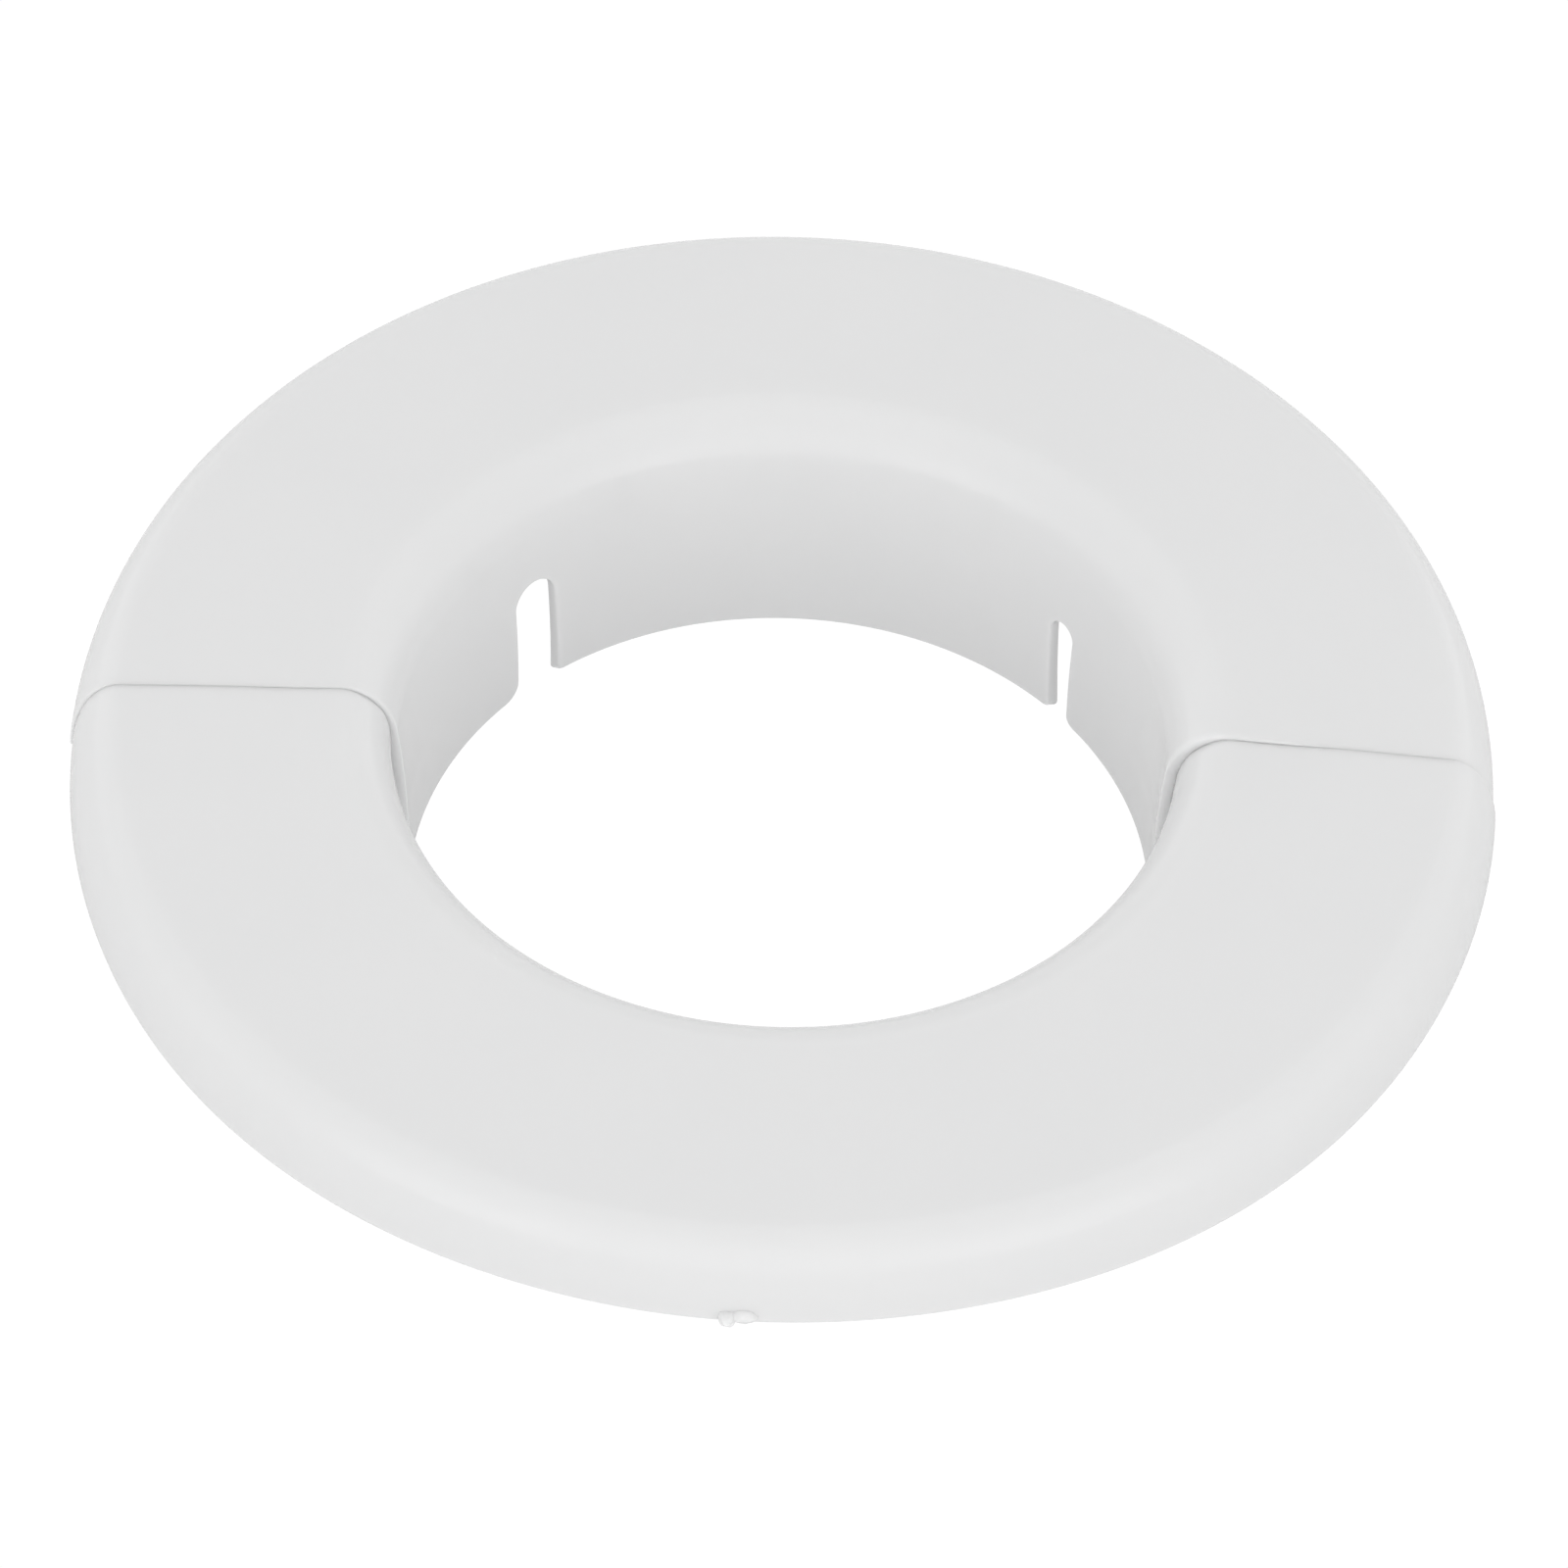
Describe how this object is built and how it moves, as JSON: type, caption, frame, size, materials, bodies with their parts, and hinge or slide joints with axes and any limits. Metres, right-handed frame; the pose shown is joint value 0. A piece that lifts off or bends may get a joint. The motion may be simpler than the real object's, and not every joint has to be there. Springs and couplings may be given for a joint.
{
  "type": "split pipe cover flange",
  "caption": "Round white cover flange split into snap-together half rings, with a rounded rim, a radiused lip and a slotted sleeve, for a pipe at a wall or floor.",
  "frame": {"origin": "on the ring's axis, level with the outer edge of the sleeve's finger ends, which is the lowest point of the part", "axes": "+Z along the ring's axis, out of the visible face, away from the wall; X along the seam between the halves; the back half is at +Y and the front half at -Y"},
  "size_m": [0.1201, 0.1224, 0.0223],
  "materials": {
    "gloss_white_plastic": "gloss moulded white plastic"
  },
  "bodies": {
    "back": {"back_half": "gloss_white_plastic"},
    "front": {"front_half": "gloss_white_plastic"}
  },
  "joints": [
    {"name": "pull_apart", "type": "slide", "parent": "back", "child": "front", "axis": [0, -1, 0], "range_m": [0, 0.03]}
  ]
}
